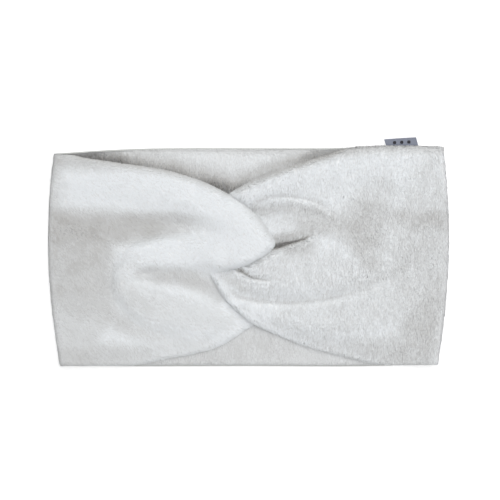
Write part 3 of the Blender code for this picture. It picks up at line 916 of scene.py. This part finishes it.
def build_label():
    """A woven label: a strip folded in half, both ends caught between the panels, the fold at the top."""
    (left, root, _), (right, _, _) = node_box("label_root")
    (_, hinge, flap_low), (_, top, flap_high) = node_box("label_flap")
    centre = (left + right) / 2
    profile = label_profile(root, top)
    columns = np.linspace(left, right, 25)
    points = []
    for x in columns:
        for y, z in profile:
            rise = (y - root) / (top - root)
            lean = LABEL_LEAN * (y - (root + 2.4))
            tilt = LABEL_TILT * rise * (x - centre) / (right - centre)
            curl = 0.35 * rise**2 * math.sin((x - left) / (right - left) * math.pi)
            points.append((x - lean, y + tilt, (flap_low + flap_high) / 2 + z + curl))
    label = add_mesh("woven_label", points, tube_faces(len(columns), len(profile)))
    label.data.materials.append(label_material())
    label.data.set_sharp_from_angle(angle=math.radians(40))
    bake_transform(label)
    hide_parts("label_root", "label_flap")
    return label


def motif_material():
    """Near-black satin thread."""
    made, shader = principled("motif_thread", (0.03, 0.03, 0.035), 0.6)
    if shader:
        grain = made.node_tree.nodes.new("ShaderNodeTexNoise")
        grain.inputs["Scale"].default_value = 3000
        colour_between(made, grain.outputs["Fac"], (0.02, 0.02, 0.025), (0.06, 0.06, 0.07))
    return made


def satin_stitch(x, y, level, half):
    """Points of one stitch, 2 * half long, that bulges in its middle."""
    points = []
    for t in np.linspace(-half, half, STITCH_RINGS):
        bulge = STITCH_RISE * math.sqrt(max(1 - (t / half) ** 2, 0.05))
        for corner in range(STITCH_POINTS):
            turn = corner * math.pi / 3
            height = bulge * (1 + math.sin(turn)) * 0.8
            points.append((x + t, y + STITCH_RADIUS * math.cos(turn), level + height))
    return points


def build_motif(label):
    """Three round dots in satin stitch on the upper leaf of the label."""
    low, high = node_box("label_flap")
    level = max(v.co.z for v in label.data.vertices) / MM - 0.05
    points, faces = [], []
    for dot in (-1, 0, 1):
        x = (low[0] + high[0]) / 2 - 0.4 + DOT_SPACING * dot
        y = high[1] - 3.2 + LABEL_TILT * 0.6 * dot * 0.45
        for row in range(-2, 3):
            half = math.sqrt(max(1.0 - (STITCH_GAP * row) ** 2, 0.1))
            stitch = tube_faces(STITCH_RINGS, STITCH_POINTS)
            faces += [[v + len(points) for v in f] for f in stitch]
            points += satin_stitch(x, y + STITCH_GAP * row, level, half)
    obj = add_mesh("label_motif", points, faces)
    obj.data.materials.append(motif_material())
    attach(obj, "label")


def build_sheets():
    """The back panel's halves, and the wings over them."""
    left = outline(LEFT_BOTTOM, LEFT_HIDDEN, LEFT_TOP, LEFT_SIDE[::-1])
    right = outline(RIGHT_EDGE, RIGHT_SIDE, RIGHT_TOP, RIGHT_HIDDEN)
    back = outline(BACK_BOTTOM, RIGHT_SIDE, BACK_TOP, LEFT_SIDE[::-1])
    build_back("left", -1, back, ("left", "center"), (-200, BACK_CUT))
    build_back("right", 1, back, ("right",), (BACK_CUT, 200))
    build_wing("left", -1, left, back, left_heights, comb=-50, lift=0.38, rough=0.85, nap_and_shade=LEFT_NAP_AND_PAINTED_SHADE,
               deep=(), edges={"top": LEFT_TOP, "bottom": LEFT_BOTTOM})
    build_wing("right", 1, right, back, right_heights, comb=-100, lift=0.48, rough=1.7, nap_and_shade=RIGHT_NAP_AND_PAINTED_SHADE,
               deep=SLITS, edges={"top": RIGHT_TOP, "bottom": RIGHT_EDGE})


# Two soft lights over the band: name, place, size in metres and power in watts.
LIGHTS = [
    ("key", (0.25, 0.45, 1.15), 1.4, 11.1),
    ("top", (0.05, -0.05, 1.3), 0.9, 6.4),
]
AMBIENT = 0.25
# The camera, in millimetres: its lens and sensor, the width of the picture at the height of the side
# seams, and the point that it looks straight down on.
LENS = 100.0
SENSOR = 36.0
VIEW_WIDTH = 300.75
VIEW_CENTRE = (0.9, 0.75)


def stage():
    """A pale floor just below the band, a white world and the lights."""
    bpy.ops.mesh.primitive_plane_add(size=6.0, location=(0, 0, -0.0002))
    floor = bpy.context.object
    floor.name = "floor"
    made, shader = principled("floor_white", (0.95, 0.95, 0.95), 0.9)
    shader.inputs["Emission Color"].default_value = (1, 1, 1, 1)
    shader.inputs["Emission Strength"].default_value = 0.25
    floor.data.materials.append(made)
    world = bpy.data.worlds.new("studio")
    bpy.context.scene.world = world
    world.use_nodes = True
    background = world.node_tree.nodes["Background"]
    background.inputs["Color"].default_value = (1.0, 1.0, 1.0, 1)
    background.inputs["Strength"].default_value = AMBIENT
    for name, place, size, power in LIGHTS:
        light = bpy.data.lights.new(name, "AREA")
        light.size = size
        light.energy = power
        lamp = bpy.data.objects.new(name, light)
        bpy.context.collection.objects.link(lamp)
        lamp.location = place
        lamp.rotation_euler = (-Vector(place)).to_track_quat("-Z", "Y").to_euler()


def camera():
    """Straight above the band, looking down."""
    data = bpy.data.cameras.new("camera")
    data.lens = LENS
    data.sensor_width = SENSOR
    data.clip_end = 20
    obj = bpy.data.objects.new("camera", data)
    bpy.context.collection.objects.link(obj)
    height = SEAM_LEVEL + VIEW_WIDTH * LENS / SENSOR
    obj.location = [v * MM for v in (*VIEW_CENTRE, height)]
    bpy.context.scene.camera = obj


camera()
stage()
build_sheets()
build_sides()
build_motif(build_label())
bpy.context.scene.view_settings.view_transform = "Standard"
